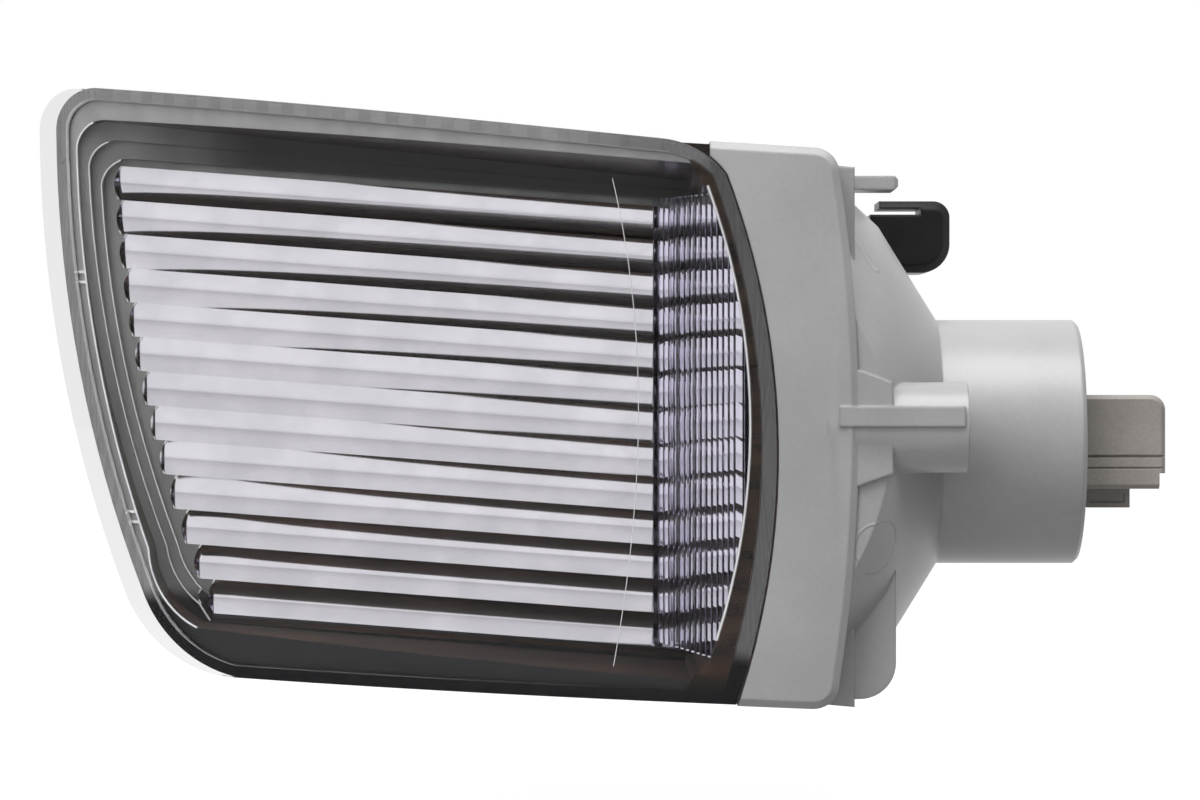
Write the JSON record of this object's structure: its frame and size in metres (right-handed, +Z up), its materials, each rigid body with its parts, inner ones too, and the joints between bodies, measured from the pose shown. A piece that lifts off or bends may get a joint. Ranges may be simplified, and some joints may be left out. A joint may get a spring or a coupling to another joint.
{
  "type": "vehicle indicator lamp",
  "caption": "Front corner indicator lamp: clear wrapped lens, grey housing with a fluted bright reflector, inner optic, amber bulb in a twist-in socket, fixing boss and tabs.",
  "frame": {"origin": "centre of the fixing boss's mouth", "axes": "+X rearwards out of the fixing boss and along the bulb axis, +Y inboard, +Z up"},
  "size_m": [0.2285, 0.0932, 0.1233],
  "materials": {
    "housing_grey": "satin moulded grey, with a bright aluminised coat inside the reflector",
    "lens_clear": "clear polished moulding",
    "sealant": "soft sealant bead",
    "optic_clear": "clear ribbed moulding",
    "bulb_amber": "amber glass",
    "bulb_foot_glass": "pressed glass",
    "filament_metal": "drawn wire",
    "socket_taupe": "textured moulding",
    "black_rubber": "moulded rubber",
    "terminal_metal": "tinned",
    "reflector_coat": "aluminised coat"
  },
  "bodies": {
    "lamp_body": {"housing": "housing_grey", "lens": "lens_clear", "lens_sealant": "sealant", "inner_optic": "optic_clear", "tab_boot": "black_rubber"},
    "bulb_holder": {"bulb_socket": "socket_taupe", "socket_gasket": "black_rubber", "terminal_inboard": "terminal_metal", "terminal_outboard": "terminal_metal", "bulb_glass": "bulb_amber", "bulb_foot": "bulb_foot_glass", "bulb_filament": "filament_metal"}
  },
  "joints": [
    {"name": "socket_twist", "type": "hinge", "parent": "lamp_body", "child": "bulb_holder", "pos_m": [0, 0.036, -0.003], "axis": [1, 0, 0], "range_deg": [0, 45]}
  ]
}
